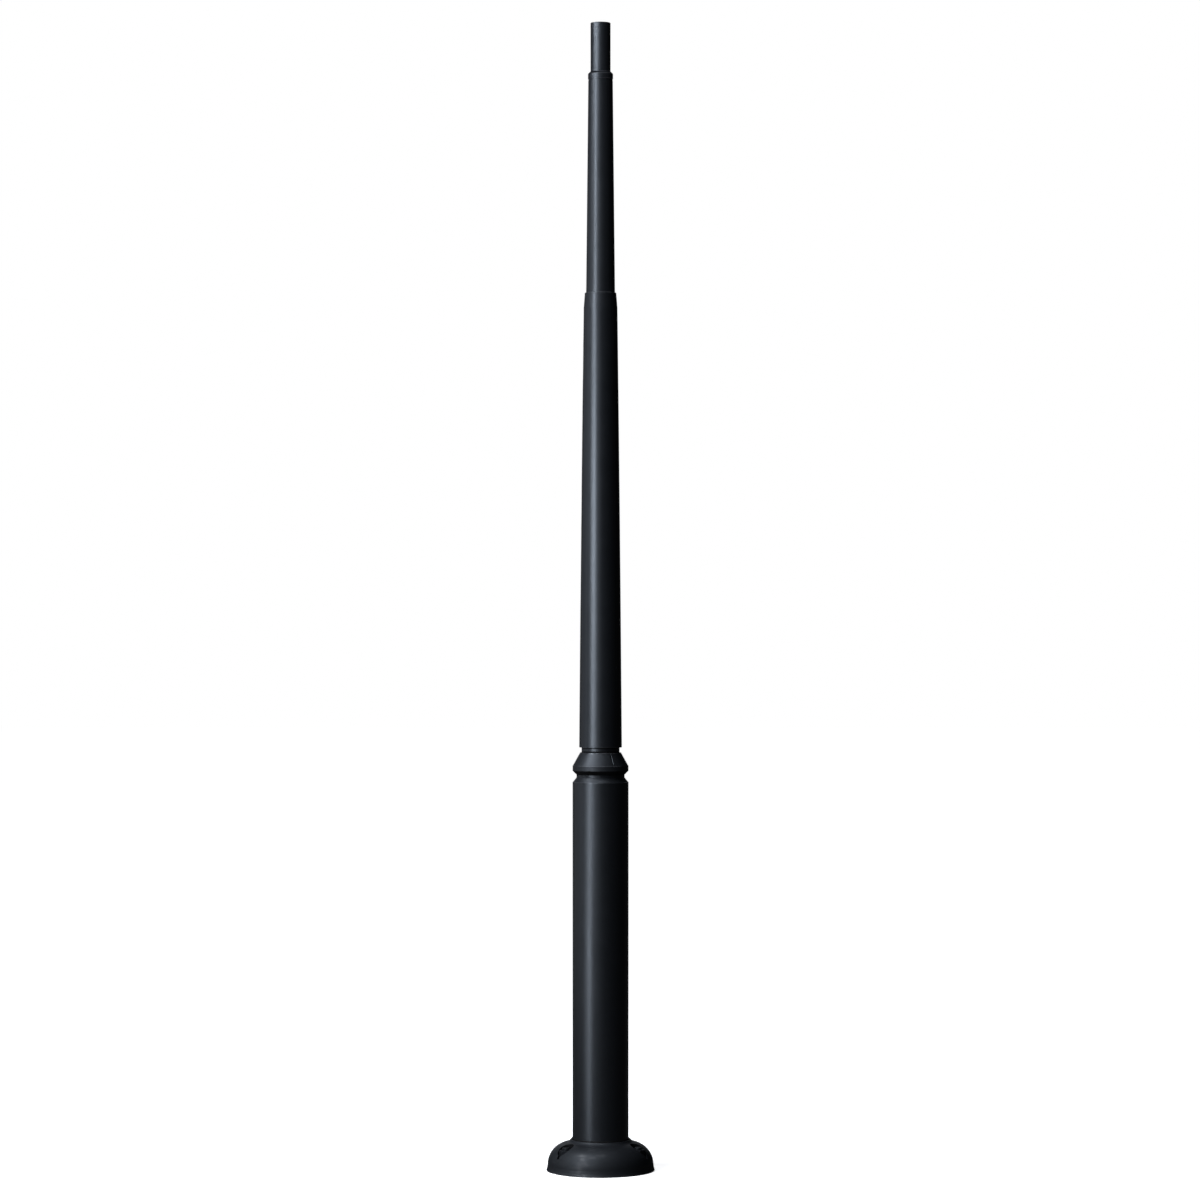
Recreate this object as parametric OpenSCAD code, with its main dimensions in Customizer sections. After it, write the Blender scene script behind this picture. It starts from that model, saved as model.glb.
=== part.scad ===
// Stepped lamp post without its lantern. A cast shoe stands over a steel base plate; above it
// come a straight lower shaft with a service door, a split cast collar over a V groove, a
// tapered middle shaft, a tapered upper shaft and a spigot that takes the lantern.
// The origin is the centre of the base plate's underside, and +Z is up.

/* [Base plate] */
// How far the steel plate's edge lies inside the dome's springing
plate_in = 9.3; // [8:0.1:14]
// Thickness of the plate
plate_t = 15; // [8:0.5:20]
// Radius of the cable hole in its middle
cable_hole_r = 50; // [20:1:70]

/* [Anchorage] */
// Number of anchor bolts, each in a well of its own
bolt_count = 3; // [2:1:4]
// Distance from the shaft's skin out to the circle that the bolts stand on
bolt_out = 40.85; // [36:0.05:60]
// Radius of a bolt hole in the plate
bolt_hole_r = 13; // [5:0.5:16]
// How much wider the hole in the cast seat is
seat_clear = 1; // [0.5:0.5:2]
// Radius of the well that a spanner reaches down
well_r = 24; // [16:0.5:29]
// Height of the seat in the well that the anchor nut bears on
seat_z = 44; // [24:0.5:53]
// Thickness of the cast wall round a well
well_wall = 5; // [3:0.5:6]
// Width of the notch that drains a well outwards
drain_w = 10; // [4:0.5:16]
// Direction of the first well and of the service door, from +X
back_angle = 94; // [0:1:359]

/* [Cast shoe] */
// How far the lip on the ground stands outside the dome's springing
lip_out = 3.4; // [1:0.1:8]
// Chamfer under the lip
lip_chamfer = 0.7; // [0.2:0.1:1]
// Height of the lip's upright edge
lip_h = 3; // [1:0.5:6]
// Distance from the bolt circle out to where the dome springs
spring_out = 34.3; // [33:0.1:50]
// Height at which the dome springs
spring_z = 18.6; // [17:0.1:30]
// Radius of the dome's round shoulder
dome_r = 66.7; // [60:0.1:70]
// Thickness of the casting
shoe_wall = 7; // [4:0.5:9]
// Radius of the cove between the crown and the neck
cove_r = 21.8; // [14:0.1:24]
// How far the cove's foot stands outside the shaft
cove_stand = 3; // [2:0.1:5]
// Height of the neck's rim above the crown
neck_rise = 8.2; // [6:0.1:12]
// Rounding of the neck's rim
neck_round = 1.4; // [0.5:0.1:1.6]
// Width of the groove round the shaft, which the seal fills
neck_gap = 3.1; // [2:0.1:3.6]
// Depth of that groove below the neck's rim
seal_drop = 5; // [2:0.5:8]
// How far the seal stands above the rim
seal_stand = 4; // [1:0.5:6]
// Rounding of the seal's upper edge
seal_round = 1.2; // [0.4:0.1:1.6]
// Depth of the sleeve that grips the shaft inside the shoe
sleeve_h = 24; // [10:1:40]
// Thickness of that sleeve
sleeve_t = 6; // [4:0.5:8]

/* [Lower shaft] */
// Height of the shaft's top edge above the ground
lower_h = 1168; // [960:1:1420]
// Outside radius of the tube
lower_r = 84.15; // [70:0.05:101]
// Wall of the tube
lower_wall = 4.5; // [3:0.1:6]
// Rounding of the top edge
lower_round = 1.5; // [0.5:0.1:2.5]

/* [Service door] */
// Height of the door's lower edge above the ground
door_z = 480; // [220:5:600]
// Width of the opening, measured across
door_w = 86; // [60:1:110]
// Height of the opening
door_h = 320; // [200:5:400]
// Radius of the opening's corners
door_corner = 18; // [8:1:30]
// Gap round the leaf
door_gap = 0.8; // [0.3:0.1:2]
// How far the frame shows inside the opening
frame_lip = 7; // [4:0.5:12]
// How far the frame reaches behind the tube
frame_reach = 12; // [6:0.5:16]
// Thickness of the frame
frame_t = 4; // [2:0.5:6]
// Radius of the lock's face
lock_r = 10; // [6:0.5:14]
// Distance of the lock below the opening's upper edge
lock_drop = 46; // [30:1:90]
// Length of the lock's barrel
lock_len = 26; // [15:1:34]
// Radius of the three-sided key socket
key_r = 5.5; // [3:0.5:6]
// Depth of the key socket
key_depth = 9; // [4:0.5:12]

/* [Shoulder and groove] */
// Height of the bevel above the lower shaft
bevel_h = 13; // [6:0.5:24]
// How far the groove's floor stands outside the stub
groove_out = 6.3; // [3:0.1:12]
// Height of the groove's floor
groove_h = 8.5; // [2:0.5:12]
// Depth of the plug inside the lower shaft
plug_h = 60; // [30:1:120]
// Thickness of the shoulder's disc under its upper side
cast_wall = 8; // [5:0.5:14]
// Thickness of the plug's skirt
skirt_t = 6; // [4:0.5:9]
// Wall of the stub round the neck, which the collar closes on
stub_wall = 8.85; // [5:0.05:12]
// Height of that stub
stub_h = 14; // [6:0.5:20]

/* [Collar] */
// How far the collar's band stands outside the groove's floor
collar_out = 11.7; // [6:0.1:20]
// Height of the bevel under the band
collar_bevel_h = 11.5; // [8:0.5:24]
// Height of the band
band_h = 16; // [8:0.5:30]
// Height of the cone above the band
cone_h = 39; // [30:0.5:50]
// How far the cone's top edge stands outside the neck
cone_top_out = 4.7; // [4:0.05:9]
// Chamfer of that edge
cone_edge = 0.8; // [0.3:0.1:1.5]
// Rounding of the band's upper edge
band_round = 1; // [0.4:0.1:4]
// Wall of the collar casting
collar_wall = 6; // [3:0.5:7.5]
// Height of its solid top, which grips the neck
grip_h = 9; // [6:0.5:16]
// Direction of the joint between the two halves, from +X
seam_angle = -62; // [-180:1:180]
// Gap of that joint
seam_gap = 0.4; // [0.2:0.1:1]
// Width of the notch that opens the joint at the cone's top edge
notch_w = 3.2; // [1:0.1:5]
// Height of the notch
notch_h = 30; // [10:0.5:34]

/* [Neck] */
// Outside radius of the neck tube
neck_r = 57.15; // [44:0.05:69]
// Wall of the neck tube
neck_wall = 4; // [2.5:0.1:5]
// Height of the neck that shows between the collar and the middle shaft
neck_show = 15.5; // [6:0.5:40]
// Length of the neck tube inside the middle shaft
neck_in = 150; // [60:5:300]

/* [Middle shaft] */
// Length of the shaft
mid_len = 1367; // [1120:1:1660]
// How far its foot stands outside the neck
mid_foot_out = 7; // [6:0.1:12]
// How far it stands outside the upper shaft where the drawn-in head begins
mid_head_out = 7.3; // [5:0.1:12]
// Swelling of the taper at half height
mid_swell = 0.85; // [0:0.05:2]
// Height of the drawn-in head
head_h = 46; // [20:1:80]
// Wall of the tube
mid_wall = 3.6; // [2.5:0.1:4.2]
// Rounding of the foot's edge
foot_round = 1; // [0.4:0.1:1.6]
// Height of the ring that closes the foot
foot_ring_h = 8; // [4:0.5:20]
// How far that ring lies inside the foot
foot_ring_in = 1.5; // [0:0.5:6]

/* [Upper shaft] */
// Length that shows above the middle shaft
upper_len = 638; // [520:1:780]
// Radius where it leaves the middle shaft, and of its straight shank inside
upper_foot_r = 43.5; // [36:0.1:53]
// How far its top stands outside the spigot
upper_head_out = 6.9; // [6:0.1:12]
// Wall of the tube
upper_wall = 3.2; // [2:0.1:3.6]
// Length inside the middle shaft
upper_in = 180; // [80:5:300]

/* [Adapter and spigot] */
// Outside radius of the spigot, to suit the lantern
spigot_r = 30; // [25:0.5:36]
// How far the spigot's root is turned down where it stands in the adapter
root_step = 0.5; // [0.3:0.1:1]
// Length of the spigot above the adapter
spigot_len = 147; // [60:1:200]
// Wall of the spigot
spigot_wall = 3; // [2:0.1:5]
// Rounding of the spigot's end
spigot_round = 1; // [0.3:0.1:1.4]
// How far the adapter's ring stands outside the spigot
ring_out = 7.6; // [6:0.1:12]
// Height of the ring
ring_h = 22.5; // [14:0.5:40]
// Width of the flat on top of the ring, inside its chamfer
ring_land = 1; // [0.5:0.1:4]
// Height of the shadow gap under the ring
shadow_h = 4; // [2:0.5:8]
// How far the shadow gap lies inside the ring
shadow_in = 2.2; // [1:0.1:4]
// Depth of the adapter inside the upper shaft
adapter_in = 50; // [30:1:100]

/* [Hidden] */
$fn = 96;

fit = 0.3;              // clearance between parts that slide together
seat = 0.1;             // clearance between round parts that are pressed or welded together
over = 1;               // how far a cutter runs past what it cuts
coat = "#1f2227";       // satin black coating
coat_dark = "#17191d";  // the same coating inside the groove
rubber = "#0d0e10";     // seal
steel = "#3a3d42";      // lock barrel

// Heights of the stages, from the ground up
groove_z = lower_h + bevel_h;
collar_z = groove_z + groove_h;
band_z = collar_z + collar_bevel_h;
cone_z = band_z + band_h;
collar_top = cone_z + cone_h;
mid_z = collar_top + neck_show;
mid_top = mid_z + mid_len;
upper_top = mid_top + upper_len;
ring_z = upper_top + shadow_h;
ring_top = ring_z + ring_h;
post_h = ring_top + spigot_len;

// Radii of the base, outwards from the shaft
bolt_circle_r = lower_r + bolt_out;
spring_r = bolt_circle_r + spring_out;
lip_r = spring_r + lip_out;
plate_r = spring_r - plate_in;

// Shoe: its cove meets the dome where it overhangs it, and otherwise stands on the flat crown.
// It is sunk a seat's depth into the dome, and the rim stands as far proud of it, so that they cross
dome_c = spring_r - dome_r;
crown_z = spring_z + dome_r;
rim_z = crown_z + neck_rise;
cove_c = lower_r + cove_stand + cove_r;
overhang = max(cove_c - dome_c, 0);
cove_z = spring_z + sqrt(pow(dome_r + cove_r, 2) - pow(overhang, 2)) - seat;
touch_r = cove_c - cove_r * overhang / (dome_r + cove_r);
// Centre of the neck's rounded rim, and where the rounding meets the cove
tip_drop = cove_z - rim_z + neck_round;
tip_r = cove_c - sqrt(pow(cove_r + neck_round, 2) - pow(tip_drop, 2)) + seat;
tip_touch_z = cove_z - cove_r * tip_drop / (cove_r + neck_round);
// Points of the lip's flare, as shares of its width and of its height
FLARE = [[0.45, 0.35], [0.25, 0.6]];

// Radii of the collar, outwards from the neck
stub_r = neck_r + stub_wall;
groove_r = stub_r + groove_out;
collar_r = groove_r + collar_out;
cone_top_r = neck_r + cone_top_out;
cone_slope = (collar_r - band_round - cone_top_r) / cone_h;

// Tubes
lower_bore = lower_r - lower_wall;
mid_foot_r = neck_r + mid_foot_out;
mid_head_r = upper_foot_r + mid_head_out;
head_mouth_r = upper_foot_r + fit;
head_r = head_mouth_r + mid_wall;
upper_head_r = spigot_r + upper_head_out;
ring_r = spigot_r + ring_out;
shadow_r = ring_r - shadow_in;
MID_STEPS = 12;
TRI = 3;

// A ring about the axis, from z1 to z2
module ring(outer, inner, z1, z2) {
    rotate_extrude()
        translate([inner, z1])
            square([outer - inner, z2 - z1]);
}

// Section of a ring whose outer upper edge is rounded
module soft_section(outer, inner, z1, z2, round_r) {
    edge = min(round_r, outer - inner - seat);
    translate([inner, z1])
        square([outer - inner, z2 - z1 - edge]);
    translate([inner, z1])
        square([outer - inner - edge, z2 - z1]);
    translate([outer - edge, z2 - edge])
        quarter(edge);
}

// One copy of the children at each anchor bolt
module at_bolts() {
    for (i = [0 : bolt_count - 1])
        rotate([0, 0, back_angle + 360 * i / bolt_count])
            translate([bolt_circle_r, 0, 0])
                children();
}

// Quarter disc that springs outwards and upwards from its centre
module quarter(radius) {
    intersection() {
        circle(radius);
        square(radius + over);
    }
}

// Outline of the shoe from the axis to its skin
module shoe_outline() {
    polygon(concat(
        [[0, 0], [lip_r - lip_chamfer, 0], [lip_r, lip_chamfer], [lip_r, lip_h]],
        [for (p = FLARE) [spring_r + p[0] * lip_out, lip_h + p[1] * (spring_z - lip_h)]],
        [[spring_r, spring_z], [0, spring_z]]
    ));
    translate([0, spring_z])
        square([dome_c, dome_r]);
    translate([dome_c, spring_z])
        quarter(dome_r);
    difference() {
        translate([0, spring_z])
            square([touch_r, tip_touch_z - spring_z]);
        translate([cove_c, cove_z])
            circle(cove_r);
    }
    translate([0, spring_z])
        square([tip_r, rim_z - spring_z]);
    translate([tip_r, rim_z - neck_round])
        circle(neck_round);
}

// Outline of the hollow under the shoe
module shoe_hollow() {
    inner_r = dome_r - shoe_wall;
    translate([0, -over])
        square([dome_c + inner_r, spring_z + over]);
    translate([0, spring_z])
        square([dome_c, inner_r]);
    translate([dome_c, spring_z])
        quarter(inner_r);
}

// Upright slot outline with round corners, w wide and h high, standing on the x axis
module round_panel(w, h, corner) {
    translate([-w / 2 + corner, 0])
        square([w - 2 * corner, h]);
    translate([-w / 2, corner])
        square([w, h - 2 * corner]);
    for (x = [-1, 1], z = [corner, h - corner])
        translate([x * (w / 2 - corner), z])
            circle(corner);
}

// Radial prism through the shaft's back, for everything that belongs to the door
module door_prism(w, h, corner, z) {
    rotate([0, 0, back_angle])
        translate([lower_r / 2, 0, z])
            rotate([90, 0, 90])
                linear_extrude(lower_r)
                    round_panel(w, h, corner);
}

module base_plate() {
    color(coat)
        difference() {
            ring(plate_r, cable_hole_r, 0, plate_t);
            at_bolts()
                translate([0, 0, -over])
                    cylinder(r = bolt_hole_r, h = plate_t + 2 * over);
        }
}

module base_shoe() {
    bore = lower_r + fit;
    color(coat)
        difference() {
            union() {
                rotate_extrude()
                    difference() {
                        shoe_outline();
                        shoe_hollow();
                    }
                intersection() {
                    rotate_extrude()
                        shoe_outline();
                    at_bolts()
                        translate([0, 0, plate_t])
                            cylinder(r = well_r + well_wall, h = crown_z);
                }
                ring(bore + sleeve_t, bore, crown_z - shoe_wall - sleeve_h, crown_z - over);
            }
            translate([0, 0, -over])
                cylinder(r = bore, h = rim_z + 2 * over);
            translate([0, 0, rim_z - seal_drop])
                cylinder(r = lower_r + neck_gap, h = seal_drop + over);
            at_bolts() {
                cylinder(r = bolt_hole_r + seat_clear, h = rim_z);
                translate([0, 0, seat_z])
                    cylinder(r = well_r, h = rim_z);
                translate([0, -drain_w / 2, seat_z])
                    cube([spring_out, drain_w, rim_z]);
            }
        }
}

module neck_seal() {
    color(rubber)
        rotate_extrude()
            soft_section(lower_r + neck_gap - seat, lower_r + seat,
                         rim_z - seal_drop, rim_z + seal_stand, seal_round);
}

module lower_shaft() {
    color(coat)
        difference() {
            rotate_extrude()
                soft_section(lower_r, lower_bore, plate_t, lower_h, lower_round);
            door_prism(door_w, door_h, door_corner, door_z);
        }
}

// Strip behind the opening that stiffens the tube and carries the leaf
module door_frame() {
    outer = lower_bore - seat;
    color(coat)
        difference() {
            intersection() {
                ring(outer, outer - frame_t, door_z - frame_reach - over,
                     door_z + door_h + frame_reach + over);
                door_prism(door_w + 2 * frame_reach, door_h + 2 * frame_reach,
                           door_corner + frame_reach, door_z - frame_reach);
            }
            door_prism(door_w - 2 * frame_lip, door_h - 2 * frame_lip,
                       door_corner - frame_lip, door_z + frame_lip);
        }
}

module at_lock() {
    rotate([0, 0, back_angle])
        translate([lower_r, 0, door_z + door_h - lock_drop])
            rotate([0, -90, 0])
                children();
}

module door_leaf() {
    color(coat)
        difference() {
            intersection() {
                ring(lower_r, lower_bore, door_z, door_z + door_h);
                door_prism(door_w - 2 * door_gap, door_h - 2 * door_gap,
                           door_corner - door_gap, door_z + door_gap);
            }
            at_lock()
                translate([0, 0, -over])
                    cylinder(r = lock_r + fit, h = lower_wall + 4 * over);
        }
}

module door_lock() {
    color(steel)
        difference() {
            at_lock()
                cylinder(r = lock_r, h = lock_len);
            at_lock()
                translate([0, 0, -over])
                    cylinder(r = key_r, h = key_depth + over, $fn = TRI);
        }
}

// Casting that plugs the lower shaft and makes the lower side and floor of the groove
module shoulder() {
    inner = neck_r + fit;
    outer = lower_bore - fit;
    color(coat_dark)
        rotate_extrude()
            polygon([
                [inner, lower_h - cast_wall],
                [outer - skirt_t, lower_h - cast_wall],
                [outer - skirt_t, lower_h - plug_h],
                [outer, lower_h - plug_h],
                [outer, lower_h],
                [lower_r - lower_round, lower_h],
                [groove_r, groove_z],
                [groove_r, collar_z],
                [stub_r, collar_z],
                [stub_r, collar_z + stub_h],
                [inner, collar_z + stub_h]
            ]);
}

// Outline of the collar's casting, a shell that closes on the stub and on the neck
module collar_section() {
    inner = neck_r + fit;
    difference() {
        union() {
            polygon([
                [inner, collar_z],
                [groove_r, collar_z],
                [collar_r, band_z],
                [collar_r, cone_z - band_round],
                [collar_r - band_round, cone_z],
                [inner, cone_z]
            ]);
            translate([collar_r - band_round, cone_z - band_round])
                circle(band_round);
            polygon([
                [inner, cone_z],
                [collar_r - band_round, cone_z],
                [cone_top_r, collar_top - cone_edge],
                [cone_top_r - cone_edge, collar_top],
                [inner, collar_top]
            ]);
        }
        translate([0, collar_z - over])
            square([stub_r + fit, stub_h + fit + over]);
        polygon([
            [0, collar_z + stub_h],
            [stub_r + fit, collar_z + stub_h],
            [collar_r - collar_wall, band_z],
            [collar_r - collar_wall, cone_z - band_round],
            [cone_top_r + cone_slope * grip_h - collar_wall, collar_top - grip_h],
            [0, collar_top - grip_h]
        ]);
    }
}

// Half of the collar, turned so that its joints lie along the seam
module collar_half(turn) {
    rotate([0, 0, seam_angle + turn])
        difference() {
            rotate_extrude(angle = 180)
                collar_section();
            for (side = [0, 1])
                mirror([side, 0, 0]) {
                    translate([0, -over, collar_z - over])
                        cube([collar_r + over, over + seam_gap / 2, collar_top - collar_z + 2 * over]);
                    rotate([90, 0, 90])
                        linear_extrude(collar_r + over)
                            polygon([
                                [-over, collar_top - notch_h],
                                [0, collar_top - notch_h],
                                [notch_w / 2, collar_top + over],
                                [-over, collar_top + over]
                            ]);
                }
        }
}

module collar_front() {
    color(coat)
        collar_half(180);
}

module collar_back() {
    color(coat)
        collar_half(0);
}

module neck_tube() {
    color(coat_dark)
        ring(neck_r, neck_r - neck_wall, lower_h - plug_h, mid_z + neck_in);
}

// Ring that closes the foot of the middle shaft round the neck
module foot_ring() {
    ring_top_share = (foot_ring_in + foot_ring_h) / (mid_len - head_h);
    outer = min(mid_foot_r, mid_radius(ring_top_share)) - mid_wall - fit / 2;
    color(coat_dark)
        ring(outer, neck_r + fit / 2,
             mid_z + foot_ring_in, mid_z + foot_ring_in + foot_ring_h);
}

// Radius of the middle shaft at the share t of its taper, with its slight swelling
function mid_radius(t) = mid_foot_r + (mid_head_r - mid_foot_r) * t + 4 * mid_swell * t * (1 - t);

module mid_shaft() {
    taper = mid_len - head_h;
    skin = [for (i = [0 : MID_STEPS]) [mid_radius(i / MID_STEPS), mid_z + taper * i / MID_STEPS]];
    bore = [for (i = [MID_STEPS : -1 : 0]) [skin[i][0] - mid_wall, skin[i][1]]];
    lip = mid_wall / 2;
    color(coat)
        rotate_extrude()
            union() {
                difference() {
                    polygon(concat(
                        skin,
                        [[head_r, mid_top - lip], [head_mouth_r, mid_top - lip]],
                        bore
                    ));
                    translate([mid_foot_r - foot_round, mid_z + foot_round])
                        difference() {
                            translate([0, -2 * foot_round])
                                square(2 * foot_round);
                            circle(foot_round);
                        }
                }
                translate([head_mouth_r + lip, mid_top - lip])
                    circle(lip);
            }
}

// Tapered tube with a straight shank that stands in the middle shaft's head
module upper_shaft() {
    color(coat)
        rotate_extrude()
            polygon([
                [upper_foot_r - upper_wall, mid_top - upper_in],
                [upper_foot_r, mid_top - upper_in],
                [upper_foot_r, mid_top],
                [upper_head_r, upper_top],
                [upper_head_r - upper_wall, upper_top],
                [upper_foot_r - upper_wall, mid_top]
            ]);
}

// Turned piece that plugs the upper shaft and carries the spigot
module adapter() {
    inner = spigot_r - root_step + fit / 2;
    plug = upper_head_r - upper_wall - fit;
    chamfer = ring_out - ring_land;
    color(coat)
        rotate_extrude() {
            translate([inner, upper_top - adapter_in])
                square([plug - inner, adapter_in + shadow_h + over]);
            translate([inner, upper_top])
                square([shadow_r - inner, shadow_h + over]);
            polygon([
                [inner, ring_z],
                [ring_r, ring_z],
                [ring_r, ring_top - chamfer],
                [ring_r - chamfer, ring_top],
                [inner, ring_top]
            ]);
        }
}

// Tube whose shoulder rests on the adapter's ring
module spigot() {
    inner = spigot_r - spigot_wall;
    color(coat)
        rotate_extrude() {
            translate([inner, upper_top - adapter_in])
                square([spigot_r - root_step - inner, ring_top - upper_top + adapter_in + over]);
            soft_section(spigot_r, inner, ring_top, post_h, spigot_round);
        }
}

base_plate();
base_shoe();
neck_seal();
lower_shaft();
door_frame();
door_leaf();
door_lock();
shoulder();
collar_front();
collar_back();
neck_tube();
foot_ring();
mid_shaft();
upper_shaft();
adapter();
spigot();
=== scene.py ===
"""Looks of the stepped lamp post: its coatings, anchor fixings, studio light and camera.

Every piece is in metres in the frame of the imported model. The tubes and the castings are the
model's own nodes with better finishes; the fixings in the wells are made here.
"""
import logging
import math
from collections.abc import Callable, Sequence
from dataclasses import dataclass
from enum import Enum
from functools import reduce

import bpy
import numpy as np
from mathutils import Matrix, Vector


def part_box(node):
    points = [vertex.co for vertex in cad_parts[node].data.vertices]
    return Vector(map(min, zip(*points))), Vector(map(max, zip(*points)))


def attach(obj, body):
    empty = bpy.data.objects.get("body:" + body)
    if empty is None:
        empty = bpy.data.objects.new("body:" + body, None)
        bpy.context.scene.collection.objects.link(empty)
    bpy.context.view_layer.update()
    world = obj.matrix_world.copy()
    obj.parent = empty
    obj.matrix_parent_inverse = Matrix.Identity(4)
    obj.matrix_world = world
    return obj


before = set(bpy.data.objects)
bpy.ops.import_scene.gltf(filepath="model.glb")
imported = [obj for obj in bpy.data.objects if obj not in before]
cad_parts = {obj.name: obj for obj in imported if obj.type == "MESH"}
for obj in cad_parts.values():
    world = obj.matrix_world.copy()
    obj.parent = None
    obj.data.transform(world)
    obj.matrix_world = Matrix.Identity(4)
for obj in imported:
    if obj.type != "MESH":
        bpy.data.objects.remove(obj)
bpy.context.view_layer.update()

LOG = logging.getLogger("lamp_post")
MM = 0.001
Pair = tuple[float, float]
Triple = tuple[float, float, float]
Settings = dict[str, object]
Sockets = dict[str | int, object]
BLACK: Triple = (0.0, 0.0, 0.0)
WHITE: Triple = (1.0, 1.0, 1.0)


class Slot(Enum):
    """A material slot of the record; nothing in this script gives it to a piece."""

    COATING = "coating"


# ---------------------------------------------------------------- shader wiring


class Wire:
    """One output of a shader graph, with arithmetic on numbers that makes its Math nodes."""

    def __init__(self, graph: "Graph", socket: bpy.types.NodeSocket) -> None:
        """Keeps the graph and the socket."""
        self.graph = graph
        self.socket = socket

    @property
    def is_colour(self) -> bool:
        """True for a colour or a vector."""
        return self.socket.type in {"VECTOR", "RGBA"}

    def _join(self, first: object, second: object, operation: str) -> "Wire":
        """Joins two numbers with one Math node.

        Args:
            first: Left operand, a wire or a number.
            second: Right operand.
            operation: Blender's name for the operation.

        Returns:
            The node's result.
        """
        return self.graph.out("ShaderNodeMath", {"operation": operation}, {0: first, 1: second})

    def __add__(self, other: object) -> "Wire":
        """self + other."""
        return self._join(self, other, "ADD")

    def __radd__(self, other: object) -> "Wire":
        """other + self."""
        return self._join(other, self, "ADD")

    def __sub__(self, other: object) -> "Wire":
        """self - other."""
        return self._join(self, other, "SUBTRACT")

    def __rsub__(self, other: object) -> "Wire":
        """other - self."""
        return self._join(other, self, "SUBTRACT")

    def __mul__(self, other: object) -> "Wire":
        """self * other."""
        return self._join(self, other, "MULTIPLY")

    def __rmul__(self, other: object) -> "Wire":
        """other * self."""
        return self._join(other, self, "MULTIPLY")

    def __pow__(self, other: object) -> "Wire":
        """self to the power other."""
        return self._join(self, other, "POWER")

    def __neg__(self) -> "Wire":
        """The value with its sign turned."""
        return self * -1.0

    def most(self, other: object) -> "Wire":
        """The larger of self and other."""
        return self._join(self, other, "MAXIMUM")

    def least(self, other: object) -> "Wire":
        """The smaller of self and other."""
        return self._join(self, other, "MINIMUM")

    def unsigned(self) -> "Wire":
        """The value without its sign, the larger of self and -self."""
        return self.most(-self)

    def slant(self, other: "Wire") -> "Wire":
        """Distance over two offsets at right angles, sqrt(self^2 + other^2)."""
        return (self * self + other * other) ** 0.5

    def ramp(self, low: float, high: float) -> "Wire":
        """A smooth step from 0 at low to 1 at high, also with low above high."""
        settings: Settings = {"interpolation_type": "SMOOTHSTEP", "clamp": True}
        return self.graph.out("ShaderNodeMapRange", settings, {0: self, 1: low, 2: high, 3: 0.0, 4: 1.0})

    def between(self, first: object, second: object) -> "Wire":
        """Mixes two colours or two numbers with one Mix node.

        Args:
            first: What it gives where self is 0, a wire, a number or a colour.
            second: What it gives where self is 1.

        Returns:
            The mix. The node's numbers are its sockets 2 and 3, and its colours 6 and 7.
        """
        if isinstance(first, tuple) or (isinstance(first, Wire) and first.is_colour):
            return self.graph.out("ShaderNodeMix", {"data_type": "RGBA"}, {0: self, 6: first, 7: second}, 2)
        return self.graph.out("ShaderNodeMix", {"data_type": "FLOAT"}, {0: self, 2: first, 3: second}, 0)


class Graph:
    """A shader node tree that is built through one node-making method."""

    def __init__(self, owner: bpy.types.Material | bpy.types.World) -> None:
        """Gives a material or a world an empty tree."""
        owner.use_nodes = True
        self.tree = owner.node_tree
        self.tree.nodes.clear()

    def node(self, kind: str, settings: Settings | None = None,
             sockets: Sockets | None = None) -> bpy.types.Node:
        """Makes one node.

        Args:
            kind: Blender's name for the node type.
            settings: Properties of the node.
            sockets: Inputs by name or place: a wire is linked, anything else is set.

        Returns:
            The node.
        """
        made = self.tree.nodes.new(kind)
        for name, value in (settings or {}).items():
            setattr(made, name, value)
        for key, value in (sockets or {}).items():
            socket = made.inputs[key]
            if isinstance(value, Wire):
                self.tree.links.new(value.socket, socket)
            elif socket.type == "RGBA":
                socket.default_value = (*value, 1.0)
            else:
                socket.default_value = value
        return made

    def out(self, kind: str, settings: Settings | None = None, sockets: Sockets | None = None,
            output: str | int = 0) -> Wire:
        """Makes one node and returns one of its outputs as a wire."""
        return Wire(self, self.node(kind, settings, sockets).outputs[output])

    def end(self, kind: str, shader: Wire) -> None:
        """Ends the graph in an output node of that kind."""
        self.node(kind, sockets={"Surface": shader})

    def place(self) -> Wire:
        """Object coordinates, in metres."""
        return self.out("ShaderNodeTexCoord", output="Object")

    def ray(self, kind: str) -> Wire:
        """1 for a ray of that kind, such as Is Camera Ray."""
        return self.out("ShaderNodeLightPath", output=kind)

    def parts(self, vector: Wire) -> tuple[Wire, Wire, Wire]:
        """The three parts of a vector."""
        made = self.node("ShaderNodeSeparateXYZ", sockets={0: vector})
        return Wire(self, made.outputs[0]), Wire(self, made.outputs[1]), Wire(self, made.outputs[2])

    def scaled(self, colour: Triple, tone: Wire) -> Wire:
        """A colour times a number."""
        return self.out("ShaderNodeVectorMath", {"operation": "SCALE"}, {0: colour, "Scale": tone})

    def noise(self, place: Wire, size: float, detail: float = 2.0, rough: float = 0.5) -> Wire:
        """Noise from 0 to 1 whose patches are about size metres across."""
        keys: Sockets = {"Vector": place, "Scale": 1.0 / size, "Detail": detail, "Roughness": rough}
        return self.out("ShaderNodeTexNoise", {"noise_dimensions": "3D"}, keys)

    def bump(self, height: Wire, depth: float, normal: Wire | None = None) -> Wire:
        """Bends a normal by a height field.

        Args:
            height: The field, from 0 to 1.
            depth: Its depth in metres.
            normal: The normal to bend; the surface's own without one.

        Returns:
            The bent normal.
        """
        keys: Sockets = {"Height": height, "Distance": depth, "Strength": 1.0}
        if normal is not None:
            keys["Normal"] = normal
        return self.out("ShaderNodeBump", sockets=keys)


# ---------------------------------------------------------------- what varies over a coat


@dataclass(frozen=True)
class Spot:
    """Where a finish is worked out: the three coordinates and the clouds of the coat's film."""

    x: Wire
    y: Wire
    z: Wire
    cloud: Wire


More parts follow.
